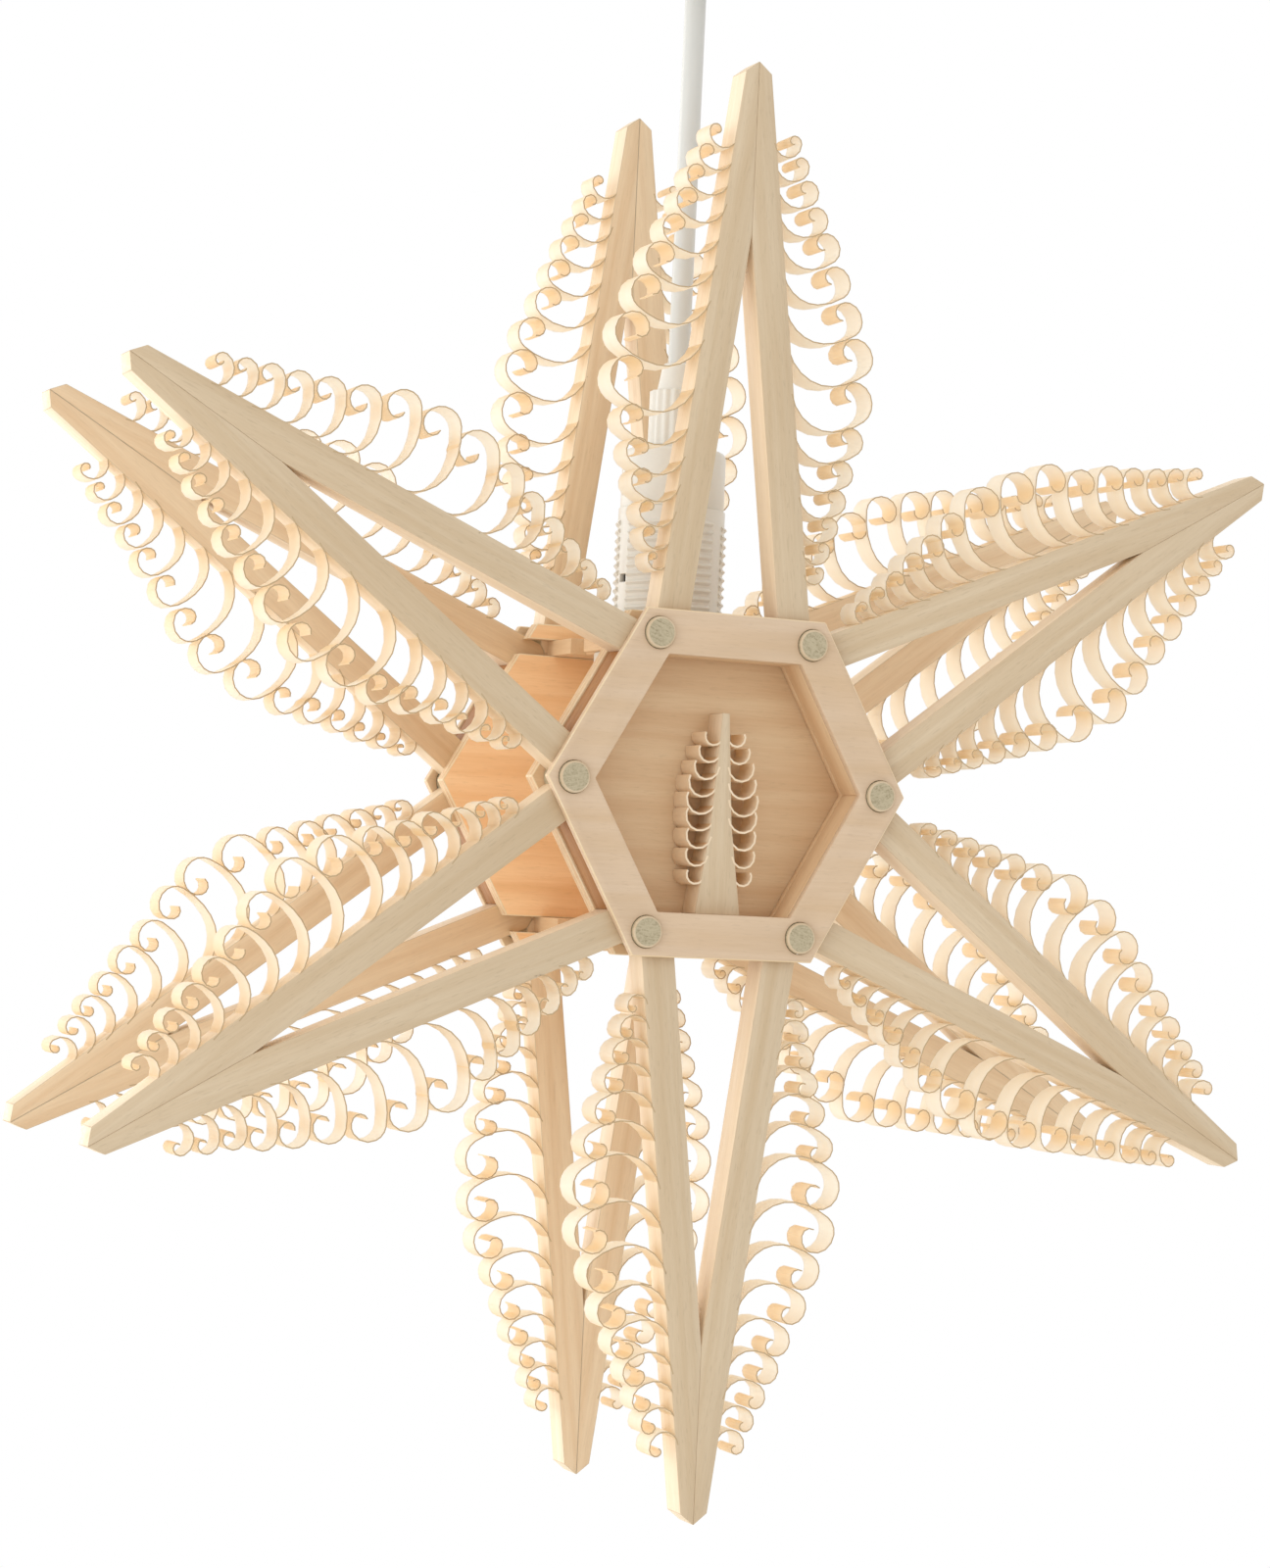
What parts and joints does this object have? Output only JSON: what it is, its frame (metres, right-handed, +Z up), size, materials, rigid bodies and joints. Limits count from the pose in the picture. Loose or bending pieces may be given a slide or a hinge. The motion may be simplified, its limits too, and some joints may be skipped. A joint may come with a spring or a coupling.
{
  "type": "light-up star decoration",
  "caption": "Hanging wooden star lamp: carved star frames with shaved curls on hexagonal hubs, set back to back round a small bulb and its cord",
  "frame": {"origin": "on the ceiling, in the middle of the top face of the ceiling plate, between its screw holes", "axes": "+Z up, -Y out of the front star's face towards the viewer, +X to the viewer's right"},
  "size_m": [0.3048, 0.082, 0.421],
  "materials": {
    "bar_wood": "bare planed softwood, shaved ribbons left on",
    "ring_wood": "bare sanded veneer",
    "panel_wood": "bare plywood",
    "tree_wood": "bare shaved softwood",
    "plug_wood": "end grain, lightly sanded",
    "white_plastic": "moulded, satin",
    "cord_sheath": "smooth sheath",
    "zinc_steel": "bright zinc",
    "contact_brass": "stamped",
    "frosted_glass": "frosted"
  },
  "bodies": {
    "ceiling": {"ceiling_plate": "white_plastic", "ceiling_hook": "zinc_steel", "ceiling_cup": "white_plastic", "cup_screws": "zinc_steel", "terminal_block": "white_plastic"},
    "link": {"hang_link": "zinc_steel"},
    "hanger": {"cord_hanger": "zinc_steel"},
    "star": {"lamp_cord": "cord_sheath", "top_board": "panel_wood", "bottom_board": "panel_wood", "socket_sleeve": "white_plastic", "socket_cap": "white_plastic", "cord_grip": "white_plastic", "upper_ring_nut": "white_plastic", "lower_ring_nut": "white_plastic", "contact_insert": "white_plastic", "shell_contact": "contact_brass", "centre_contact": "contact_brass", "inner_leads": "contact_brass", "front_ring": "ring_wood", "front_core": "panel_wood", "front_plate": "panel_wood", "front_plugs": "plug_wood", "front_half_tree": "tree_wood", "rear_ring": "ring_wood", "rear_core": "panel_wood", "rear_plate": "panel_wood", "rear_plugs": "plug_wood", "rear_half_tree": "tree_wood", "front_bar_01": "bar_wood", "front_bar_02": "bar_wood", "front_bar_03": "bar_wood", "front_bar_04": "bar_wood", "front_bar_05": "bar_wood", "front_bar_06": "bar_wood", "front_bar_07": "bar_wood", "front_bar_08": "bar_wood", "front_bar_09": "bar_wood", "front_bar_10": "bar_wood", "front_bar_11": "bar_wood", "front_bar_12": "bar_wood", "rear_bar_01": "bar_wood", "rear_bar_02": "bar_wood", "rear_bar_03": "bar_wood", "rear_bar_04": "bar_wood", "rear_bar_05": "bar_wood", "rear_bar_06": "bar_wood", "rear_bar_07": "bar_wood", "rear_bar_08": "bar_wood", "rear_bar_09": "bar_wood", "rear_bar_10": "bar_wood", "rear_bar_11": "bar_wood", "rear_bar_12": "bar_wood"},
    "bulb_tip": {"bulb_tip": "zinc_steel"},
    "bulb": {"bulb_shell": "zinc_steel", "bulb_glass": "frosted_glass"}
  },
  "joints": [
    {"name": "swing_fore_aft", "type": "hinge", "parent": "ceiling", "child": "link", "pos_m": [0, 0, -0.016], "axis": [1, 0, 0], "range_deg": [-12, 12]},
    {"name": "swing_side", "type": "hinge", "parent": "link", "child": "hanger", "pos_m": [0, 0, -0.02235], "axis": [0, 1, 0], "range_deg": [-12, 12]},
    {"name": "swivel", "type": "hinge", "parent": "hanger", "child": "star", "pos_m": [0, 0, -0.036], "axis": [0, 0, 1], "range_deg": [-180, 180]},
    {"name": "bulb_travel", "type": "slide", "parent": "star", "child": "bulb_tip", "axis": [0, 0, -1], "range_m": [0, 0.01411]},
    {"name": "bulb_turn", "type": "hinge", "parent": "bulb_tip", "child": "bulb", "pos_m": [0, 0, -0.2], "axis": [0, 0, -1], "range_deg": [0, 1800]}
  ],
  "couplings": [
    {"joint": "bulb_travel", "follows": "bulb_turn", "m_per_rad": 0.00044882}
  ]
}
